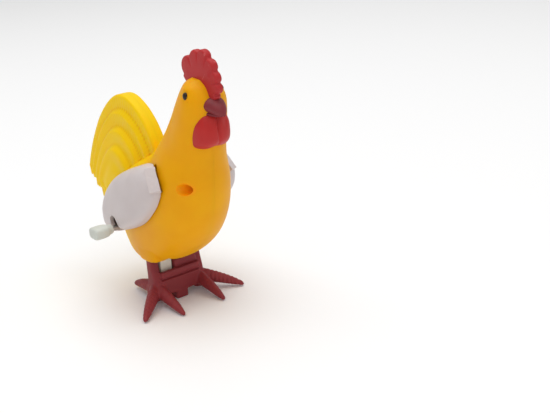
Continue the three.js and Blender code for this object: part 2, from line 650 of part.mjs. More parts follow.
const { right, split, left, wall } = CASE;
add("motor_case_right", caseHalf([...CASE_TOP, ...CASE_LUG], right, split - 0.05, right + wall, FAR), acetal);
add("motor_case_left", caseHalf([...CASE_TOP, ...CASE_FLOOR], split + 0.05, left, -FAR, left - wall), acetal);
add("winding_shaft", rodY(WIND, SHAFT_R, KEY.shaftEnd, CASE.left + 0.5), steel);
add("winding_key", windingKey(), white);
add("main_gear", mainGear(), acetal);
add("mainspring", mainspring(), steel);
add("second_axle", rodY(SECOND, AXLE_R, CASE.right - 0.3, CASE.left + 0.3, 12), steel);
add("second_gear", secondGear(), acetal);
add("crankshaft", rodY(CRANK, AXLE_R, CASE.right - 0.3, DISC.y1 - 0.5, 12), steel);
add("crank_pinion", crankPinion(), acetal);
add("crank_disc", crankDisc(), acetal);
add("foot_pivot_pin", rodY(PIVOT, PIVOT.radius, 0.6 - LEG.outer, LEG.outer - 0.6), steel);
add("feet", feet(), footRed);

export default rooster;
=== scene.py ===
# The looks of a wind-up hopping rooster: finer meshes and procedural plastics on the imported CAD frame.
# Shapes are worked out in millimetres in the row frame and become metres when a mesh is made.
import math

import bmesh
import bpy
import numpy as np
from mathutils import Matrix, Vector


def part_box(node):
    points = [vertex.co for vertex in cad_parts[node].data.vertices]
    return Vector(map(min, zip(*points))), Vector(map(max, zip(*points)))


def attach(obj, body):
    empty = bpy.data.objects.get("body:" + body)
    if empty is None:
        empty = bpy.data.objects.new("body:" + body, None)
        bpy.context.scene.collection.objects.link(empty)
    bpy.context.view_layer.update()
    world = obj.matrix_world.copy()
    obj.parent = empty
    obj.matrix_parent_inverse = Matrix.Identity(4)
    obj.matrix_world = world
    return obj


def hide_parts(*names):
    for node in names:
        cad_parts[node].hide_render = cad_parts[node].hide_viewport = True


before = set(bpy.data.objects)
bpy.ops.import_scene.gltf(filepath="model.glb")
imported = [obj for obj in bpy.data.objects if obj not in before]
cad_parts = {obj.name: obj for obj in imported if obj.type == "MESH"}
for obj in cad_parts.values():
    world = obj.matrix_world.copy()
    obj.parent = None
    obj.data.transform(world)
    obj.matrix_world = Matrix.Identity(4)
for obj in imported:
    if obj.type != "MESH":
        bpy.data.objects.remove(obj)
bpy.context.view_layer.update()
MM = 0.001
PI = math.pi


# ---------------------------------------------------------------- mesh helpers
def make(name, verts, faces):
    mesh = bpy.data.meshes.new(name)
    mesh.from_pydata([Vector(v) * MM for v in verts], [], faces)
    mesh.validate()
    obj = bpy.data.objects.new(name, mesh)
    bpy.context.scene.collection.objects.link(obj)
    bm = bmesh.new()
    bm.from_mesh(mesh)
    bmesh.ops.remove_doubles(bm, verts=bm.verts, dist=1e-6)
    bmesh.ops.dissolve_degenerate(bm, edges=bm.edges, dist=1e-7)
    bmesh.ops.recalc_face_normals(bm, faces=bm.faces)
    bm.to_mesh(mesh)
    bm.free()
    return obj


def loft(name, rings):
    """A closed surface through rings of points, all with the same count."""
    rings = [np.asarray(r, float) for r in rings]
    count = len(rings[0])
    verts = [tuple(p) for r in rings for p in r]
    faces = []
    for i in range(len(rings) - 1):
        for j in range(count):
            a, b = i * count + j, i * count + (j + 1) % count
            faces.append((a, b, b + count, a + count))
    for ring, start in ((rings[0], 0), (rings[-1], (len(rings) - 1) * count)):
        verts.append(tuple(ring.mean(0)))
        for j in range(count):
            faces.append((start + j, start + (j + 1) % count, len(verts) - 1))
    return make(name, verts, faces)


def plate(name, rings, capped=False):
    """A plate on both sides of the middle plane, from rings of outline points and their heights off it."""
    count = len(rings[0][0])
    verts = [(p[0], side * h, p[1]) for side in (-1, 1)
             for points, heights in rings for p, h in zip(points, heights)]
    half = len(rings) * count
    faces = []
    for i in range(len(rings) - 1):
        for j in range(count):
            a, b = i * count + j, i * count + (j + 1) % count
            faces.append((a, b, b + count, a + count))
            faces.append((a + half, a + count + half, b + count + half, b + half))
    last = half - count
    for j in range(count):
        a, b = last + j, last + (j + 1) % count
        faces.append((a, b, b + half, a + half))
    if capped:
        faces += [tuple(range(count)), tuple(range(half, half + count))]
    return make(name, verts, faces)


def box(name, low, high):
    low, high = np.array(low, float), np.array(high, float)
    verts = [[(low, high)[(k >> i) & 1][i] for i in range(3)] for k in range(8)]
    faces = [(0, 1, 3, 2), (4, 6, 7, 5), (0, 4, 5, 1), (2, 3, 7, 6), (0, 2, 6, 4), (1, 5, 7, 3)]
    return make(name, verts, faces)


def rod(name, start, end, r0, r1=None, sides=48):
    start, end = Vector(start), Vector(end)
    axis = (end - start).normalized()
    side = axis.orthogonal().normalized()
    other = axis.cross(side)
    rings = []
    for at, r in ((start, r0), (end, r0 if r1 is None else r1)):
        rings.append([at + side * r * math.cos(2 * PI * j / sides) + other * r * math.sin(2 * PI * j / sides)
                      for j in range(sides)])
    return loft(name, rings)


def apply(obj, kind, **settings):
    mod = obj.modifiers.new(kind, kind)
    for key, value in settings.items():
        setattr(mod, key, value)
    mesh = bpy.data.meshes.new_from_object(obj.evaluated_get(bpy.context.evaluated_depsgraph_get()))
    obj.modifiers.remove(mod)
    obj.data = mesh
    return obj


def boolean(obj, other, operation):
    bpy.context.view_layer.update()
    apply(obj, "BOOLEAN", object=other, operation=operation, solver="MANIFOLD")
    bpy.data.objects.remove(other)
    return obj


def cut(obj, *cutters):
    for cutter in cutters:
        boolean(obj, cutter, "DIFFERENCE")
    return obj


def join(obj, *others):
    for other in others:
        boolean(obj, other, "UNION")
    return obj


def copy(obj):
    twin = obj.copy()
    twin.data = obj.data.copy()
    bpy.context.scene.collection.objects.link(twin)
    return twin


def melt(obj, voxel, rounds):
    """Joins what overlaps into one skin and softens it."""
    apply(obj, "REMESH", mode="VOXEL", voxel_size=voxel * MM, use_smooth_shade=True)
    return apply(obj, "SMOOTH", iterations=rounds, factor=0.5)


def smooth_shade(obj, angle=38):
    obj.data.shade_smooth()
    obj.data.set_sharp_from_angle(angle=math.radians(angle))
    return obj


def vertices(obj):
    flat = np.empty(len(obj.data.vertices) * 3)
    obj.data.vertices.foreach_get("co", flat)
    return flat.reshape(-1, 3) / MM


def set_vertices(obj, points):
    obj.data.vertices.foreach_set("co", (points * MM).ravel())
    obj.data.update()


def move_to_axes(obj, axes, origin):
    """Turns and moves a mesh from its own x, y and z to the axes given, at origin."""
    set_vertices(obj, vertices(obj) @ np.array(axes) + np.array(origin))
    bm = bmesh.new()
    bm.from_mesh(obj.data)
    bmesh.ops.recalc_face_normals(bm, faces=bm.faces)
    bm.to_mesh(obj.data)
    bm.free()
    return obj


def spline(points, count, closed=False):
    """A Catmull-Rom curve through points."""
    p = np.asarray(points, float)
    n = len(p)
    spans = n if closed else n - 1
    out = []
    for t in np.linspace(0, spans, count, endpoint=not closed):
        i = min(int(t), spans - 1)
        u = t - i
        if closed:
            a, b, c, d = (p[(i + k) % n] for k in (-1, 0, 1, 2))
        else:
            b, c = p[i], p[i + 1]
            a = p[i - 1] if i else 2 * b - c
            d = p[i + 2] if i + 2 < n else 2 * c - b
        out.append(0.5 * (2 * b + (c - a) * u + (2 * a - 5 * b + 4 * c - d) * u**2
                          + (3 * b - a - 3 * c + d) * u**3))
    return np.array(out)


def power(v, exponent):
    return np.sign(v) * np.abs(v) ** exponent


def step(x, low, high):
    t = np.clip((x - low) / (high - low), 0, 1)
    return t * t * (3 - 2 * t)


def ellipse(count, place):
    return [place(math.cos(a), math.sin(a)) for a in 2 * PI * np.arange(count) / count]


# ---------------------------------------------------------------- materials
def nodes_of(name):
    material = bpy.data.materials.new(name)
    material.use_nodes = True
    tree = material.node_tree
    return material, tree, tree.nodes["Principled BSDF"]


def noise(tree, scale, detail=3.0, rough=0.5, stretch=(1, 1, 1), kind="ShaderNodeTexNoise"):
    coords = tree.nodes.new("ShaderNodeTexCoord")
    mapping = tree.nodes.new("ShaderNodeMapping")
    mapping.inputs["Scale"].default_value = stretch
    texture = tree.nodes.new(kind)
    texture.inputs["Scale"].default_value = scale
    if kind == "ShaderNodeTexNoise":
        texture.inputs["Detail"].default_value = detail
        texture.inputs["Roughness"].default_value = rough
    tree.links.new(coords.outputs["Object"], mapping.inputs["Vector"])
    tree.links.new(mapping.outputs["Vector"], texture.inputs["Vector"])
    return texture


def ramp(tree, source, stops):
    node = tree.nodes.new("ShaderNodeValToRGB")
    elements = node.color_ramp.elements
    while len(elements) < len(stops):
        elements.new(0.5)
    for element, (at, colour) in zip(elements, stops):
        element.position = at
        element.color = (*colour, 1) if len(colour) == 3 else colour
    tree.links.new(source, node.inputs["Fac"])
    return node


def mix(tree, fac, a, b, mode="MIX"):
    node = tree.nodes.new("ShaderNodeMix")
    node.data_type = "RGBA"
    node.blend_type = mode
    if isinstance(fac, (int, float)):
        node.inputs["Factor"].default_value = fac
    else:
        tree.links.new(fac, node.inputs["Factor"])
    for socket, value in (("A", a), ("B", b)):
        target = [s for s in node.inputs if s.name == socket and s.type == "RGBA"][0]
        if isinstance(value, tuple):
            target.default_value = (*value, 1)
        else:
            tree.links.new(value, target)
    return [s for s in node.outputs if s.type == "RGBA"][0]


def value_range(tree, source, low, high):
    node = tree.nodes.new("ShaderNodeMapRange")
    node.inputs["To Min"].default_value = low
    node.inputs["To Max"].default_value = high
    tree.links.new(source, node.inputs["Value"])
    return node.outputs["Result"]


def srgb(*c):
    return tuple((v / 255 / 12.92 if v / 255 <= 0.04045 else ((v / 255 + 0.055) / 1.055) ** 2.4) for v in c)


TAILWARDS = (-0.9, 0, 0.45)  # the yellow gets paler this way, between the two reaches that follow: partly the plastic's own tone, partly painted light on the upward-facing tail and back
LIT_PALE_FROM, LIT_PALE_TO = 18, 33
GLOW_EDGE, GLOW_CORE = 2.6, 1.6  # radii between which the painted glowing spot fades


def plastic(name, main, deep, edge_tint=None, roughness=(0.34, 0.5), scatter=0.0, radius=(1, 0.4, 0.1), reach=1.2,
            bump=0.05, grain=900, edge_tint_amount=0.0, coat=0.0, mottle=60, specular=0.3, hollow=None, pale_and_lit=None,
            glow=None):
    """Moulded plastic: soft colour clouds, mould texture in the bump, uneven gloss and a lighter colour in
    patches on proud edges.

    hollow is the painted shade colour mixed into concave creases, and the pale colour the one towards the
    tail, partly the plastic's own tone and partly painted light on the upward-facing tail and back. glow is
    the x, z, colour and strength of a painted glow on the right side, an emitting spot that stands in for
    light shining through the plastic.
    """
    material, tree, bsdf = nodes_of(name)
    link = tree.links.new
    cloud = noise(tree, mottle, 4, 0.55)
    colour = ramp(tree, cloud.outputs["Fac"], [(0.3, deep), (0.7, main)]).outputs["Color"]
    # Partly painted light: the colour pales towards the tail, partly the plastic's own tone and partly
    # standing in for the brighter light on the upward-facing tail and back.
    if pale_and_lit:
        coords = tree.nodes.new("ShaderNodeTexCoord")
        along = tree.nodes.new("ShaderNodeVectorMath")
        along.operation = "DOT_PRODUCT"
        along.inputs[1].default_value = TAILWARDS
        link(coords.outputs["Object"], along.inputs[0])
        lit_pale_zone = tree.nodes.new("ShaderNodeMapRange")
        lit_pale_zone.inputs["From Min"].default_value = LIT_PALE_FROM * MM
        lit_pale_zone.inputs["From Max"].default_value = LIT_PALE_TO * MM
        link(along.outputs["Value"], lit_pale_zone.inputs["Value"])
        colour = mix(tree, lit_pale_zone.outputs["Result"], colour, pale_and_lit)
    geometry = tree.nodes.new("ShaderNodeNewGeometry")
    # Painted shade: the hollow colour is mixed into concave creases, where shade falls.
    if hollow:
        crease_shade = ramp(tree, geometry.outputs["Pointiness"],
                      [(0.42, (1, 1, 1)), (0.492, (0, 0, 0))]).outputs["Color"]
        colour = mix(tree, crease_shade, colour, hollow)
    # A lighter colour mixed in, in noise patches on convex edges.
    if edge_tint:
        edge_patches = noise(tree, 420, 6, 0.7)
        edge = ramp(tree, geometry.outputs["Pointiness"],
                    [(0.52, (0, 0, 0)), (0.62, (1, 1, 1))]).outputs["Color"]
        spots = ramp(tree, edge_patches.outputs["Fac"], [(0.5, (0, 0, 0)), (0.66, (1, 1, 1))]).outputs["Color"]
        both = mix(tree, 1.0, edge, spots, "MULTIPLY")
        amount = mix(tree, 1.0, both, (edge_tint_amount, edge_tint_amount, edge_tint_amount), "MULTIPLY")
        colour = mix(tree, amount, colour, edge_tint)
    # Painted glow: an orange spot mixed into the colour and made to emit, standing in for light shining
    # through the plastic of the chest screw recess.
    if glow:
        coords = tree.nodes.new("ShaderNodeTexCoord")
        apart = tree.nodes.new("ShaderNodeMapping")
        apart.inputs["Location"].default_value = (-glow[0] * MM, 2 * MM, -glow[1] * MM)
        apart.inputs["Scale"].default_value = (1, 0.2, 1)
        link(coords.outputs["Object"], apart.inputs["Vector"])
        radius_of = tree.nodes.new("ShaderNodeVectorMath")
        radius_of.operation = "LENGTH"
        link(apart.outputs["Vector"], radius_of.inputs[0])
        spot = tree.nodes.new("ShaderNodeMapRange")
        spot.inputs["From Min"].default_value = GLOW_EDGE * MM
        spot.inputs["From Max"].default_value = GLOW_CORE * MM
        link(radius_of.outputs["Value"], spot.inputs["Value"])
        colour = mix(tree, spot.outputs["Result"], colour, glow[2])
        link(mix(tree, spot.outputs["Result"], (0.0, 0.0, 0.0), glow[2]), bsdf.inputs["Emission Color"])
        bsdf.inputs["Emission Strength"].default_value = glow[3]
    link(colour, bsdf.inputs["Base Color"])
    smudges = noise(tree, 140, 5, 0.6)
    link(value_range(tree, smudges.outputs["Fac"], *roughness), bsdf.inputs["Roughness"])
    fine = noise(tree, grain, 3, 0.6)
    node = tree.nodes.new("ShaderNodeBump")
    node.inputs["Strength"].default_value = bump
    node.inputs["Distance"].default_value = 0.00012
    link(fine.outputs["Fac"], node.inputs["Height"])
    link(node.outputs["Normal"], bsdf.inputs["Normal"])
    bsdf.inputs["Subsurface Weight"].default_value = scatter
    bsdf.inputs["Subsurface Radius"].default_value = radius
    bsdf.inputs["Subsurface Scale"].default_value = reach * MM
    bsdf.inputs["Coat Weight"].default_value = coat
    bsdf.inputs["Coat Roughness"].default_value = 0.25
    bsdf.inputs["Specular IOR Level"].default_value = specular
    return material


def metal(name, light, dark, roughness, stretch):
    material, tree, bsdf = nodes_of(name)
    lines = noise(tree, 700, 4, 0.6, stretch)
    colour = ramp(tree, lines.outputs["Fac"], [(0.25, dark), (0.75, light)]).outputs["Color"]
    tree.links.new(colour, bsdf.inputs["Base Color"])
    tree.links.new(value_range(tree, lines.outputs["Fac"], *roughness), bsdf.inputs["Roughness"])
    node = tree.nodes.new("ShaderNodeBump")
    node.inputs["Strength"].default_value = 0.08
    node.inputs["Distance"].default_value = 0.00005
    tree.links.new(lines.outputs["Fac"], node.inputs["Height"])
    tree.links.new(node.outputs["Normal"], bsdf.inputs["Normal"])
    bsdf.inputs["Metallic"].default_value = 1.0
    return material


# The yellow has painted shade in its creases, a paler tail that is partly painted light, and a painted glow
# in the chest screw recess.
YELLOW = plastic("yellow_plastic", srgb(244, 174, 3), srgb(238, 162, 1), srgb(246, 200, 70), (0.36, 0.5),
                 0.25, (1, 0.35, 0.03), 2.2, 0.1, 800, 0.2, specular=0.13, hollow=srgb(226, 122, 0),
                 pale_and_lit=srgb(253, 208, 4), glow=(23.2, 49, srgb(240, 142, 6), 0.16))
WHITE = plastic("white_plastic", srgb(212, 202, 201), srgb(203, 192, 191), srgb(238, 232, 230),
                (0.36, 0.52), 0.15, (1, 0.7, 0.6), 1.2, 0.12, 700, 0.12)
COMB_RED = plastic("comb_plastic", srgb(187, 44, 46), srgb(176, 38, 42), srgb(206, 110, 106),
                   (0.42, 0.56), 0.08, (1, 0.2, 0.15), 0.8, 0.12, 700, 0.8)
WATTLE_RED = plastic("wattle_plastic", srgb(194, 42, 38), srgb(182, 36, 34), srgb(212, 92, 66),
                     (0.36, 0.5), 0.12, (1, 0.2, 0.12), 1.0, 0.1, 700, 0.4)
HORN = plastic("beak_plastic", srgb(140, 49, 54), srgb(112, 38, 46), srgb(176, 116, 116), (0.38, 0.55), 0.0,
               bump=0.16, grain=500, edge_tint_amount=0.7, mottle=160)
FOOT_RED = plastic("foot_plastic", srgb(148, 52, 56), srgb(132, 43, 49), srgb(176, 92, 90), (0.44, 0.6), 0.05,
                   (1, 0.2, 0.15), 0.8, 0.16, 600, 0.5)
KEY_GREY = plastic("key_plastic", srgb(213, 216, 207), srgb(201, 204, 195), srgb(236, 237, 230),
                   (0.4, 0.55), 0.1, (1, 0.9, 0.8), 1.0, 0.12, 700, 0.4)
EYE_BLACK = plastic("eye_plastic", srgb(48, 34, 16), srgb(30, 20, 10), None, (0.3, 0.42), 0.0, bump=0.06,
                    coat=0.1)
CASE_WHITE = plastic("motor_plastic", srgb(232, 224, 208), srgb(220, 210, 194), srgb(240, 236, 226),
                     (0.4, 0.55), 0.1, (1, 0.8, 0.6), 1.0, 0.12, 600, 0.4)
GEAR_WHITE = plastic("gear_plastic", srgb(228, 224, 210), srgb(216, 212, 198), None, (0.38, 0.5), 0.1,
                     (1, 0.9, 0.8), 0.8, 0.08, 700)
STEEL = metal("bare_steel", (0.62, 0.62, 0.6), (0.42, 0.42, 0.42), (0.22, 0.4), (1, 0.08, 1))
SPRING = metal("spring_steel", (0.3, 0.31, 0.36), (0.2, 0.21, 0.26), (0.25, 0.4), (1, 0.05, 1))


def finish_piece(obj, body, slot, material, *nodes, angle=38):
    obj.data.materials.clear()
    obj.data.materials.append(material)
    smooth_shade(obj, angle)
    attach(obj, body)
    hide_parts(*nodes)
    return obj


# ---------------------------------------------------------------- body and tail
# Chords from the back line to the breast line:
# [back x, back z, breast x, breast z, half width, bulge, roundness].
CHORDS = [
    [-22.6, 25.5, -20.6, 19.6, 3.4, 0, 0.8], [-25.2, 30.5, -18.6, 14.6, 6.8, 0, 0.7],
    [-26, 37, -14.6, 12.8, 9.2, 0, 0.62], [-22.4, 43.8, -8, 13, 11.4, 0.03, 0.62],
    [-15.5, 49, 0.5, 15.2, 13.3, 0.08, 0.72], [-9, 52.6, 10.5, 20.4, 14.1, 0.12, 0.86],
    [-4.4, 55, 18.6, 27.2, 14.3, 0.12, 0.95], [-0.6, 57.6, 24.2, 36.2, 13.6, 0.1, 1],
    [2.6, 61.2, 26.8, 46.6, 12.2, 0.1, 1], [5.8, 65.6, 27.4, 56, 10, 0.15, 1],
    [9.2, 70.8, 28.8, 64.6, 8.8, 0.22, 1], [12.2, 76, 30.4, 72, 8.1, 0.28, 1],
    [15.2, 80.4, 30.8, 78, 7.3, 0.3, 1], [18.4, 83.4, 29.2, 82.2, 5.8, 0.2, 1],
    [21.4, 84.9, 26.4, 84.5, 3, 0.1, 1],
]


def body_rings(inset, steps, sides, first=0.0, last=1.0):
    track = spline(CHORDS, 800)
    rings = []
    for share in np.linspace(first, last, steps):
        c = track[int(round(share * 799))]
        back, breast = np.array([c[0], 0, c[1]]), np.array([c[2], 0, c[3]])
        middle, along = (back + breast) / 2, (breast - back) / 2
        length = np.linalg.norm(along)
        along *= max(0.3, length - inset) / length
        half = max(0.3, c[4] - inset)
        angle = 2 * PI * np.arange(sides) / sides
        u = power(np.cos(angle), c[6])[:, None]
        ring = middle + along * u
        ring[:, 1] = half * power(np.sin(angle), c[6]) * (1 + c[5] * u[:, 0])
        rings.append(ring)
    return rings


TAIL_ROOT = np.array([-30, 36.0])
TAIL_EDGE = [[-2, 50], [-4, 56.4], [-7, 62], [-11, 66.6], [-16, 70.2], [-21.6, 72.3], [-27.5, 71.8],
             [-34, 68.2], [-41, 61.8], [-47, 53.8], [-51.4, 46.2], [-54.2, 40]]
TAIL_TIPS = [[-53.3, 35.8], [-50.2, 38.4], [-49.9, 32], [-47, 34.6], [-45.7, 28.4], [-43, 31], [-41.1, 25],
             [-38.2, 27.8], [-35.6, 23.8], [-24, 27], [-14, 36]]


def densify(points, gap):
    """Points along a closed outline, about gap apart, with its corners kept."""
    out = []
    for a, b in zip(points, np.roll(points, -1, axis=0)):
        parts = max(1, int(np.linalg.norm(b - a) / gap))
        out += [a + (b - a) * k / parts for k in range(parts)]
    return np.array(out)


def tail():
    """Sickle feathers in nested layers, each rounded over at its outer edge and dished behind it."""
    edge = spline(TAIL_EDGE, 120)
    outline = densify(np.vstack([edge, TAIL_TIPS]), 0.5)
    reach = np.linalg.norm(outline - TAIL_ROOT, axis=1)
    angle = np.arctan2(outline[:, 1] - TAIL_ROOT[1], outline[:, 0] - TAIL_ROOT[0])
    run = np.cumsum(np.r_[0, np.linalg.norm(np.diff(outline, axis=0), axis=1)])
    front = 1 - step(angle, 0.55 * PI, 0.66 * PI)
    shares = np.r_[0, np.linspace(0.06, 0.96, 90), 1 - 0.03 * (1 - np.sin(np.linspace(0.2, PI / 2, 6)))]
    rings = []
    for share in shares:
        height = 2.5 * np.ones(len(outline))
        for at, rise in ((0.85, 1.5), (0.67, 1.5), (0.48, 1.4)):
            height += rise * (1 - step(share, at - 0.045, at + 0.012))
            height -= 0.55 * (1 - step(share, at - 0.17, at - 0.03)) * step(share, at - 0.3, at - 0.17)
        height += 0.35 * step(share, 0.86, 0.92)
        ribs = np.sin(2 * PI * run / 1.7) * front * step(share, 0.55, 0.65) * (1 - step(share, 0.93, 0.98))
        height += 0.12 * ribs
        rim = (1 - share) * reach
        rounded = height - 0.9 + np.sqrt(np.clip(0.81 - (0.9 - rim) ** 2, 0, None))
        height = np.where(rim < 0.9, rounded, height)
        rings.append((TAIL_ROOT + (outline - TAIL_ROOT) * share, height))
    return plate("tail", rings)


def thigh(side):
    rings = []
    for z, half_x, half_y in spline([[16.8, 4.4, 2.7], [17.2, 5.1, 3.4], [18.8, 5.8, 3.85], [22.4, 7.2, 4.2],
                                     [26, 8, 4.1]], 20):
        rings.append(ellipse(64, lambda c, s: (-2.9 + half_x * power(c, 0.7),
                                               side * (8.4 + half_y * power(s, 0.7)), z)))
    return loft("thigh", rings)


def hinge_frame(side):
    low = Vector((14.6, side * 12.1, 47.2))
    high = Vector((9.8, side * 10.4, 54.6))
    up = (high - low)
    reach = up.length / 2
    up.normalize()
    out = Vector((0.35, side, 0.2))
    out = (out - up * out.dot(up)).normalized()
    aft = up.cross(out)
    if aft.x > 0:
        aft = -aft
    return up, out, aft, reach, (low + high) / 2


def hinge_box(name, side, aft_range, out_range, up_range, bevel=0.0):
    up, out, aft, _, middle = hinge_frame(side)
    made = box(name, *zip(aft_range, out_range, up_range))
    if bevel:
        apply(made, "BEVEL", width=bevel * MM, segments=4, limit_method="NONE")
    return move_to_axes(made, [aft, out, up], middle)


SCREWS = {"screw_chest": (23.2, 49), "screw_rump": (-18.3, 19.6)}
WIND = (-8.5, 30.3)
EYE = (25.1, 80.1)

outside = loft("outside", body_rings(0, 130, 112))
outside = join(outside, tail(), thigh(1), thigh(-1))
melt(outside, 0.32, 3)

# A soft brow over each eye, and a shallow socket round it.
points = vertices(outside)
brow = (np.exp(-((points[:, 0] - 24.6) / 3.2) ** 2 - ((points[:, 2] - 82.2) / 0.8) ** 2)
        * (np.abs(points[:, 1]) > 2.5))
lid = (np.exp(-((points[:, 0] - EYE[0]) ** 2 + (points[:, 2] - EYE[1]) ** 2) / 2.4)
       * (np.abs(points[:, 1]) > 2.5))
points[:, 1] += np.sign(points[:, 1]) * (0.22 * brow - 0.12 * lid)
set_vertices(outside, points)

hollow = loft("hollow", body_rings(1.5, 60, 64, 0.13, 0.94))
cut(outside, hollow)
cut(outside, box("motor_way", (-8.2, -7.2, -1), (5.4, 7.2, 20)),
    box("leg_way", (-6.4, 6.4, -1), (1.2, 11.05, 20.6)),
    box("leg_way", (-6.4, -11.05, -1), (1.2, -6.4, 20.6)))
for name, (x, z) in SCREWS.items():
    if name == "screw_chest":
        post = rod("post", (x, -1.2, z), (x, -9.4, z), 2.9)
        boolean(post, loft("trim", body_rings(0.5, 60, 64)), "INTERSECT")
        join(outside, post)
    cut(outside, rod("recess", (x, -2.6, z), (x, -40, z), 1.75),
        rod("recess_mouth", (x, -6.5, z), (x, -11.5, z), 1.7, 2.35))
cut(outside, rod("shaft_hole", (WIND[0], 0, WIND[1]), (WIND[0], -40, WIND[1]), 1.9))
for side in (1, -1):
    reach = hinge_frame(side)[3]
    cut(outside, hinge_box("slot", side, (-0.8, 0.8), (-5, 5), (-reach - 0.5, reach + 0.5)))

for name, side in (("body_shell_left", 1), ("body_shell_right", -1)):
    shell = copy(outside)
    shell.name = "shell_" + name[11:]
    half = box("half", (-120, 0.015 if side > 0 else -120, -20), (120, 120 if side > 0 else -0.015, 120))
    boolean(shell, half, "INTERSECT")
    finish_piece(shell, "body", "body_plastic", YELLOW, name)
bpy.data.objects.remove(outside)

# ---------------------------------------------------------------- wings
WING_RIM = [[14.5, 53.3], [9.9, 55.4], [3.4, 54.2], [-1.8, 52.4], [-9, 49.6], [-16, 45.8], [-21.6, 40.6],
            [-24.6, 35.2], [-25, 31.2], [-22.4, 27], [-17, 25.6], [-10.5, 27.4], [-4.5, 29.6], [2, 32.4],
            [7.2, 35.6], [11.4, 39.6], [14, 43.3], [15.8, 48.4]]
WING_OPEN = {1: 8, -1: 0}
NOTCH = (-8.5, 32.4)
WING_SWINGS = (0, 9, 18)  # degrees of opening at which a wing stays clear of the body


def swing(side, degrees):
    """The movement of a wing outwards about its hinge."""
    axis, _, _, _, middle = hinge_frame(side)
    turn = Matrix.Rotation(math.radians(-side * degrees), 4, axis)
    return Matrix.Translation(middle * MM) @ turn @ Matrix.Translation(-middle * MM)


def wing_dome(name, side, shrink):
    rim = spline(WING_RIM, 128, closed=True)
    centre = np.array([-5, 40.5])
    rings = []
    profile = [(1, -6.0), (1, -3.0), (1, -0.9), (0.997, -0.4)]
    profile += [(0.985 * math.cos(a) ** 0.6, (5.8 - shrink) * math.sin(a))
                for a in np.linspace(0.02, PI / 2 * 0.985, 26)]
    for share, out in profile:
        at = (rim - centre) * share * (1 - shrink / 15)
        y = side * (13.4 + out - 0.17 * at[:, 1] + 0.13 * at[:, 0])
        rings.append(np.column_stack([at[:, 0] + centre[0], y, at[:, 1] + centre[1]]))
    return loft(name, rings)


def facet_block(name, side, low, high, inset):
    """A block of the flat facet at a wing's hinge, from low to high along the facet's own normal."""
    up, out, aft, _, middle = hinge_frame(side)
    normal = (out * 0.86 - aft * 0.5 + up * 0.06).normalized()
    back = (aft - normal * aft.dot(normal)).normalized()
    rise = (up - normal * up.dot(normal)).normalized()
    corner = middle + aft * 1.5 + out * 5.4
    made = box(name, (-3.9 + inset, low, -5.0), (0, high, 3.6))
    return move_to_axes(made, [back, normal, rise], corner)


def wing(side):
    name = "wing_left" if side > 0 else "wing_right"
    reach = hinge_frame(side)[3]
    made = wing_dome("outer_" + name, side, 0)
    join(made, hinge_box("pad", side, (-0.5, 5.2), (-2, 2.7), (-reach, reach), 0.7))
    melt(made, 0.24, 3)
    join(made, facet_block("facet", side, -2.2, 0.0, 0.1))
    cut(made, facet_block("over_facet", side, 0.0, 5.0, -3.0))
    cut(made, wing_dome("inner", side, 1.3))
    for degrees in WING_SWINGS:
        keep_out = loft("keep_out", body_rings(-0.5, 80, 72))
        keep_out.data.transform(swing(side, -degrees))
        cut(made, keep_out)
    join(made, hinge_box("tab", side, (-0.45, 0.45), (-2.6, 1.4), (0.4 - reach, reach - 0.4)),
         hinge_box("bead", side, (-0.8, 0.8), (-3.6, -2.5), (0.4 - reach, reach - 0.4), 0.25))
    if side < 0:
        arch = rod("arch", (NOTCH[0], -60, NOTCH[1]), (NOTCH[0], -2, NOTCH[1]), 2.4, sides=64)
        cut(made, arch, box("arch_way", (NOTCH[0] - 2.4, -60, 15), (NOTCH[0] + 2.4, -2, NOTCH[1])))
    made.name = "moulded_" + name
    keep_largest(made)
    made.data.transform(swing(side, WING_OPEN[side]))
    return finish_piece(made, name, "wing_plastic", WHITE, name)


def keep_largest(obj):
    bm = bmesh.new()
    bm.from_mesh(obj.data)
    bm.verts.ensure_lookup_table()
    seen, groups = set(), []
    for v in bm.verts:
        if v.index in seen:
            continue
        stack, group = [v], []
        seen.add(v.index)
        while stack:
            w = stack.pop()
            group.append(w)
            for e in w.link_edges:
                o = e.other_vert(w)
                if o.index not in seen:
                    seen.add(o.index)
                    stack.append(o)
        groups.append(group)
    groups.sort(key=len, reverse=True)
    for group in groups[1:]:
        bmesh.ops.delete(bm, geom=group, context="VERTS")
    bm.to_mesh(obj.data)
    bm.free()
    return obj


for side in (1, -1):
    wing(side)

# ---------------------------------------------------------------- comb
COMB_BLADE = np.array([[15.8, 84.6], [19, 89], [25.6, 90.6], [30, 87.8], [32.4, 83], [33.2, 79.6],
                       [31.4, 77.8], [27, 79.6], [22, 81.4], [18, 82]])
COMB_LOBES = np.array([[18.7, 88, 3.4], [23.2, 90.8, 3], [27.2, 91.5, 2.8], [30.4, 89, 2.6],
                       [32.2, 85.7, 2.2], [33, 82.6, 1.8]])


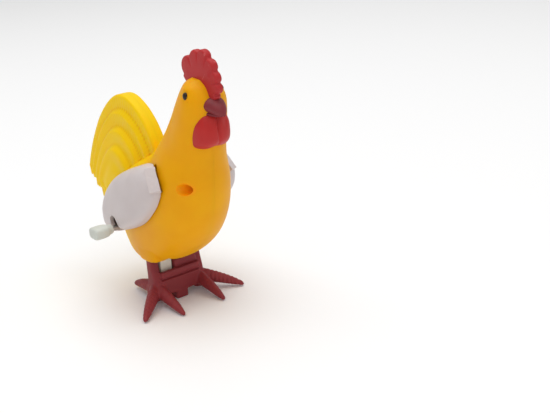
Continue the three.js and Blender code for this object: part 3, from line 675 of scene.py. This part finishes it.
def comb():
    centre = np.array([25.4, 82.4])
    angles = np.linspace(0, 2 * PI, 420, endpoint=False)
    reach = np.zeros(len(angles))
    for k, a in enumerate(angles):
        d = np.array([math.cos(a), math.sin(a)])
        for p, q in zip(COMB_BLADE, np.roll(COMB_BLADE, -1, axis=0)):
            e = q - p
            det = -d[0] * e[1] + d[1] * e[0]
            if abs(det) < 1e-9:
                continue
            w = p - centre
            t = (-w[0] * e[1] + w[1] * e[0]) / det
            s = (d[0] * w[1] - d[1] * w[0]) / det
            if t > 0 and 0 <= s <= 1:
                reach[k] = max(reach[k], t)
        for x, z, r in COMB_LOBES:
            w = centre - (x, z)
            b = w @ d
            disc = b * b - (w @ w - r * r)
            if disc > 0:
                reach[k] = max(reach[k], -b + math.sqrt(disc))
    soft = np.convolve(np.r_[reach[-2:], reach, reach[:2]], np.ones(5) / 5, "valid")
    rings = []
    lobe_angle = np.arctan2(COMB_LOBES[:, 1] - centre[1], COMB_LOBES[:, 0] - centre[0])
    gaps = (lobe_angle[:-1] + lobe_angle[1:]) / 2
    groove = sum(np.exp(-((np.angle(np.exp(1j * (angles - g)))) / 0.045) ** 2) for g in gaps)
    shares = np.r_[np.linspace(0.02, 0.8, 24), 1 - 0.2 * (1 - np.sin(np.linspace(0.05, PI / 2, 16)))]
    for share in shares:
        rim = (1 - share) * soft
        round_over = np.where(rim < 0.8, 0.8 - np.sqrt(np.clip(0.64 - (0.8 - rim) ** 2, 0, None)), 0)
        height = 1.58 - round_over - 0.26 * groove * step(share, 0.66, 0.94) - 0.25 * step(share, 0.6, 1.0)
        outline = centre + share * soft[:, None] * np.column_stack([np.cos(angles), np.sin(angles)])
        rings.append((outline, np.maximum(height, 0.3)))
    made = plate("comb_blade", rings, capped=True)
    return finish_piece(made, "body", "comb_plastic", COMB_RED, "comb", angle=50)


comb()


# ---------------------------------------------------------------- beak, wattle, eyes
def beak():
    """An upper beak with a ridge along its back and a hooked tip, over a shorter lower one."""
    sections = spline([[27, 79.4, 74.6, 4.0], [29.5, 79.9, 74.6, 3.95], [31.6, 79.6, 74.4, 3.5],
                       [33.4, 78.5, 74.0, 2.7], [34.8, 77.3, 74.1, 1.7], [35.7, 75.9, 74.2, 0.7]], 30)
    rings = []
    for x, top, bottom, half in sections:
        ring = []
        for c, s in ((math.cos(a), math.sin(a)) for a in 2 * PI * np.arange(64) / 64):
            ridge = 0.3 * math.exp(-(c / 0.25) ** 2) if s > 0 else 0
            y = half * math.copysign(abs(c) ** 0.85, c)
            z = (top + bottom) / 2 + (top - bottom) / 2 * math.copysign(abs(s) ** 1.15, s)
            ring.append((x, y, z + ridge * min(1, half / 3) - 0.3))
        rings.append(ring)
    made = loft("beak_upper", rings)
    lower = []
    for x, top, bottom, half in spline([[27, 75.4, 73.3, 3.5], [30.4, 75.4, 73.3, 3.1],
                                        [32.8, 75.0, 73.3, 2.1], [34.2, 74.4, 73.5, 0.9]], 20):
        lower.append(ellipse(48, lambda c, s: (x, half * c, (top + bottom) / 2 + (top - bottom) / 2 * s)))
    join(made, loft("beak_lower", lower))
    return finish_piece(made, "body", "beak_plastic", HORN, "beak", angle=50)


beak()


def wattle():
    """Two heavy lobes squared off below, with a cleft between them that is deepest under the beak."""
    sections = spline([[74.6, 30.2, 25.5, 3.4], [73.2, 31.6, 24, 5.0], [70.8, 32.2, 21.4, 6.3],
                       [68, 32.4, 19.7, 6.7], [65.6, 32.2, 18.9, 6.7], [64.0, 31.2, 19.2, 6.5],
                       [63.0, 29.8, 20.2, 5.9], [62.45, 27.8, 22, 4.6]], 64)
    rings = []
    for z, front, back, outer in sections:
        ring = []
        for a in 2 * PI * np.arange(160) / 160:
            c, s = math.cos(a), math.sin(a)
            x = (front + back) / 2 + (front - back) / 2 * power(c, 0.75)
            y = outer * power(s, 0.75)
            if c > 0:
                cleft = math.exp(-(y / 0.55) ** 2) * (0.3 + 0.5 * float(step(z, 64.5, 71)))
                dish = 0.35 * math.exp(-((abs(y) - 3.1) / 1.3) ** 2 - ((z - 71) / 2.2) ** 2)
                x -= cleft + dish
            ring.append((x, y, z - 0.35 * math.exp(-((abs(y) - 3.4) / 2) ** 2) * (z < 63.6)
                         + 0.25 * (z < 63.6)))
        rings.append(ring)
    made = loft("wattle_lobes", rings)
    melt(made, 0.2, 2)
    return finish_piece(made, "body", "wattle_plastic", WATTLE_RED, "wattle")


wattle()


def eye(side):
    node = "eye_left" if side > 0 else "eye_right"
    low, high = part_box(node)
    face = (high.y if side > 0 else low.y) / MM
    rings = []
    for a in np.linspace(0.02, PI / 2, 12):
        depth = side * (0.6 - 0.6 * math.cos(a))
        rings.append(ellipse(40, lambda c, s: (EYE[0] + math.sin(a) * c, face - depth,
                                               EYE[1] + 1.24 * math.sin(a) * s)))
    rings.append(ellipse(40, lambda c, s: (EYE[0] + 0.98 * c, face - side * 2.2, EYE[1] + 1.22 * s)))
    made = loft("glossy_" + node, rings)
    return finish_piece(made, "body", "eye_plastic", EYE_BLACK, node)


for side in (1, -1):
    eye(side)


# ---------------------------------------------------------------- winding key
def key():
    """A tapered grip on a round neck, flattened towards its outer end, with softened ends."""
    sections = spline([[-20.4, 1.35, 1.35], [-20.8, 1.6, 1.6], [-21.8, 1.85, 1.75], [-23.0, 2.45, 2.0],
                       [-24.6, 2.8, 2.1], [-26.6, 2.88, 2.1], [-27.7, 2.75, 1.95], [-28.15, 2.1, 1.4],
                       [-28.2, 0.5, 0.4]], 60)
    rings = []
    for y, wide, thick in sections:
        roundness = 0.6 + 0.4 * max(0.0, min(1.0, (y + 23) / 3.4))
        rings.append(ellipse(72, lambda c, s: (WIND[0] + wide * power(c, roundness), max(y, -28.2),
                                               WIND[1] + thick * power(s, roundness))))
    made = loft("key_grip", rings)
    cut(made, rod("bore", (WIND[0], -23.7, WIND[1]), (WIND[0], -10, WIND[1]), 1.02))
    return finish_piece(made, "winding", "key_plastic", KEY_GREY, "winding_key")


key()


# ---------------------------------------------------------------- feet
def leg(side):
    sections = spline([[1.6, 1.0, 0.8, 0], [4.6, 0.8, 0.6, 0], [7, 0.4, 0.2, 0.2], [10, 0.1, 0, 0.1],
                       [14, -0.5, 0, -0.5], [19.2, -0.9, -0.1, -0.9]], 30)
    rings = []
    for z, dx, dy, shift in sections:
        rings.append(ellipse(48, lambda c, s: (
            -2.6 + shift + (2.6 + dx) * math.copysign(abs(c) ** 0.6, c),
            side * (8.95 + (1.75 + dy) * math.copysign(abs(s) ** 0.6, s)), z)))
    return loft("leg", rings)


def toe(side, tip, ridges):
    start = np.array([-2.4, side * 8.7, 5.2])
    end = np.array([tip[0], side * tip[1], tip[2]])
    across = np.cross(end - start, (0, 0, 1))
    across /= np.linalg.norm(across)
    length = np.linalg.norm(end - start)
    profile = spline([[0, 2.4, 2.5], [0.35, 2.2, 2.05], [0.7, 1.6, 1.5], [0.9, 1.05, 0.95],
                      [0.97, 0.75, 0.65], [1, 0.2, 0.2]], 70)
    rings = []
    for share, wide, tall in profile:
        middle = start + (end - start) * min(share, 1)
        middle[2] += 1.1 * math.sin(PI * min(share, 1)) * 0.35
        notch = ridges * 0.16 * math.sin(2 * PI * share * length / 1.5) * (0.25 < share < 0.93)
        ring = []
        for a in 2 * PI * np.arange(40) / 40:
            c, s = math.cos(a), math.sin(a)
            lift = tall * s * (1.0 if s > 0 else 0.9) + (0.35 * tall * (1 - abs(c)) if s > 0 else 0)
            ring.append(middle + across * (wide + notch) * c + np.array([0, 0, lift + notch * (s > 0)]))
        rings.append(ring)
    return loft("toe", rings)


TOES = [((14.9, 8.7, 0.75), 0.4), ((9.5, 21.7, 0.8), 1.0), ((-19, 7.8, 2), 0.6)]


def feet():
    parts = [leg(1), leg(-1)] + [toe(side, tip, ridges) for side in (1, -1) for tip, ridges in TOES]
    reach = 8.2
    # The upper bar, front wall, web, floor, tread plate, rocker block and rocker arm.
    for low, high in (((-0.2, -reach, 9.6), (1.4, reach, 12)), ((-0.6, -reach, 3.2), (1.3, reach, 8.8)),
                      ((-0.4, -reach, 8.4), (0.3, reach, 10)), ((-5.4, -reach, 3), (1.3, reach, 4.8)),
                      ((-3.4, -2.4, 0.02), (1.2, 2.4, 3.6)), ((-4.6, -1.6, 10.2), (-0.2, 7.8, 14.95)),
                      ((-3.9, 4.8, 14), (-0.9, 6.6, 17.8))):
        bar = box("bar", low, high)
        apply(bar, "BEVEL", width=0.2 * MM, segments=3, limit_method="NONE")
        parts.append(bar)
    ring = rod("ring", (-2.4, 4.8, 20.8), (-2.4, 6.6, 20.8), 4.1)
    made = parts[0]
    join(made, *parts[1:], ring)
    melt(made, 0.3, 3)
    cut(made, rod("ring_hole", (-2.4, 3.8, 20.8), (-2.4, 7.6, 20.8), 2.7),
        rod("pin_hole", (-3.3, -10.3, 13.6), (-3.3, 10.3, 13.6), 1.15),
        box("ground", (-60, -60, -20), (60, 60, 0.0)))
    made.name = "feet_moulding"
    return finish_piece(keep_largest(made), "feet", "foot_plastic", FOOT_RED, "feet", angle=50)


feet()

# ---------------------------------------------------------------- carried-over CAD nodes
for node, material in {
    "motor_case_left": CASE_WHITE, "motor_case_right": CASE_WHITE, "main_gear": GEAR_WHITE,
    "second_gear": GEAR_WHITE, "crank_pinion": GEAR_WHITE, "crank_disc": GEAR_WHITE, "winding_shaft": STEEL,
    "second_axle": STEEL, "crankshaft": STEEL, "foot_pivot_pin": STEEL, "screw_chest": STEEL,
    "screw_rump": STEEL, "mainspring": SPRING,
}.items():
    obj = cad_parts[node]
    obj.data.materials.clear()
    obj.data.materials.append(material)

# ---------------------------------------------------------------- floor, light and camera
floor = make("floor", [(-1500, -1500, 0), (1500, -1500, 0), (1500, 1500, 0), (-1500, 1500, 0)],
             [(0, 1, 2, 3)])
floor_material, floor_tree, floor_bsdf = nodes_of("floor_paper")
floor_bsdf.inputs["Base Color"].default_value = (0.975, 0.975, 0.975, 1)
floor_bsdf.inputs["Roughness"].default_value = 0.9
floor.data.materials.append(floor_material)

world = bpy.data.worlds.new("studio")
bpy.context.scene.world = world
world.use_nodes = True
world.node_tree.nodes["Background"].inputs["Color"].default_value = (1, 1, 1, 1)
world.node_tree.nodes["Background"].inputs["Strength"].default_value = 0.45
bpy.context.scene.view_settings.view_transform = "Standard"


MIDDLE = Vector((0, 0, 0.045))  # what the lights and the camera face, in metres


def area(name, at, size, watts):
    light = bpy.data.lights.new(name, "AREA")
    light.size = size
    light.energy = watts
    obj = bpy.data.objects.new(name, light)
    obj.location = at
    obj.rotation_euler = (MIDDLE - Vector(at)).to_track_quat("-Z", "Y").to_euler()
    bpy.context.scene.collection.objects.link(obj)


area("key_light", (-0.08, 0.0, 1.15), 1.3, 10.5)
area("fill_light", (0.55, -0.2, 0.45), 0.6, 0.5)

# The camera's angle, roll and distance; right, up and back are its axes in the row frame.
AZIMUTH, ELEVATION, ROLL, DISTANCE = math.radians(-38.08), math.radians(20.06), math.radians(-3.46), 0.345
back = Vector((math.cos(ELEVATION) * math.cos(AZIMUTH), math.cos(ELEVATION) * math.sin(AZIMUTH),
               math.sin(ELEVATION)))
level = Vector((0, 0, 1)).cross(back).normalized()
upright = back.cross(level)
right = level * math.cos(ROLL) + upright * math.sin(ROLL)
up = upright * math.cos(ROLL) - level * math.sin(ROLL)
camera_data = bpy.data.cameras.new("camera")
camera_data.sensor_width = 36
camera_data.lens = 64.44
camera = bpy.data.objects.new("camera", camera_data)
place = MIDDLE + back * DISTANCE + right * 0.03674 - up * 0.009376
camera.matrix_world = Matrix((right, up, back)).transposed().to_4x4()
camera.location = place
bpy.context.scene.collection.objects.link(camera)
bpy.context.scene.camera = camera
